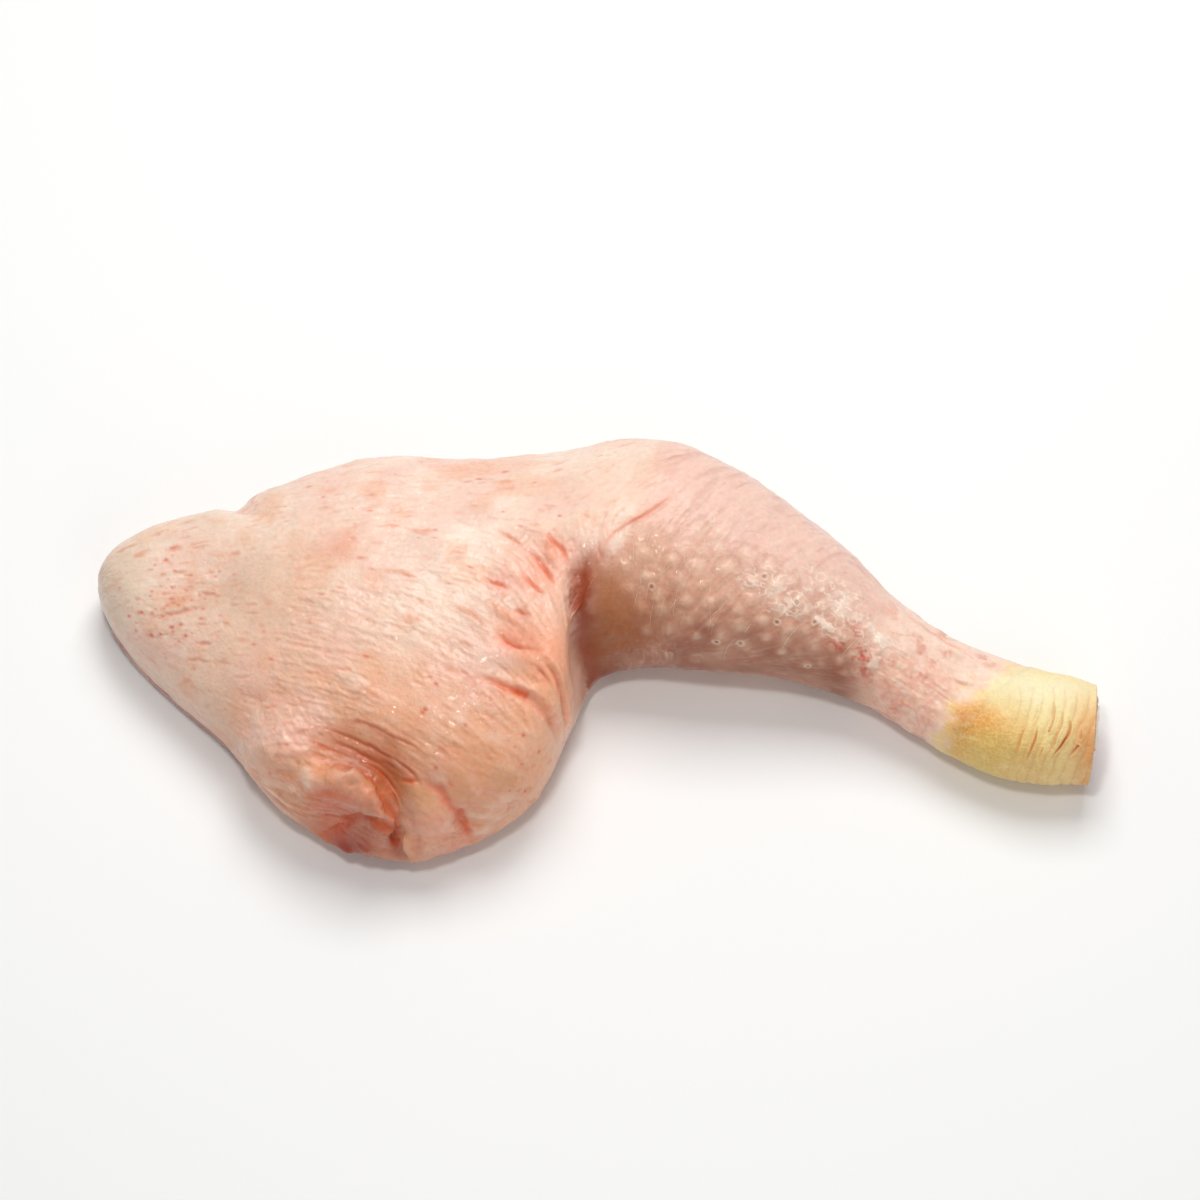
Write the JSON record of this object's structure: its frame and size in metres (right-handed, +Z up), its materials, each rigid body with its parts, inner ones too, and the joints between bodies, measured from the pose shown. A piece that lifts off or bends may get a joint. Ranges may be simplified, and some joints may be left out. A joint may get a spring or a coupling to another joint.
{
  "type": "raw chicken leg",
  "caption": "Raw chicken leg with its skin on, thigh and drumstick in one piece, ending in a short scaled yellow shank, lying on its cut side.",
  "frame": {"origin": "under the middle of the leg, on the surface that it lies on", "axes": "+X from the hip to the cut shank, +Z up, away from the cut side, +Y to the back of the knee's outer side"},
  "size_m": [0.2659, 0.1128, 0.0471],
  "materials": {
    "skin": "moist, thin and finely wrinkled, cream pink, redder in the folds",
    "meat": "wet raw flesh, fibrous, dull pink",
    "scales": "waxy yellow scales with fine cracks",
    "core": "wet cut tendon and bone, pink"
  },
  "bodies": {
    "root": {"skin_covered_leg": "skin", "thigh_meat": "meat", "scaled_shank": "scales", "shank_core": "core"}
  },
  "joints": []
}
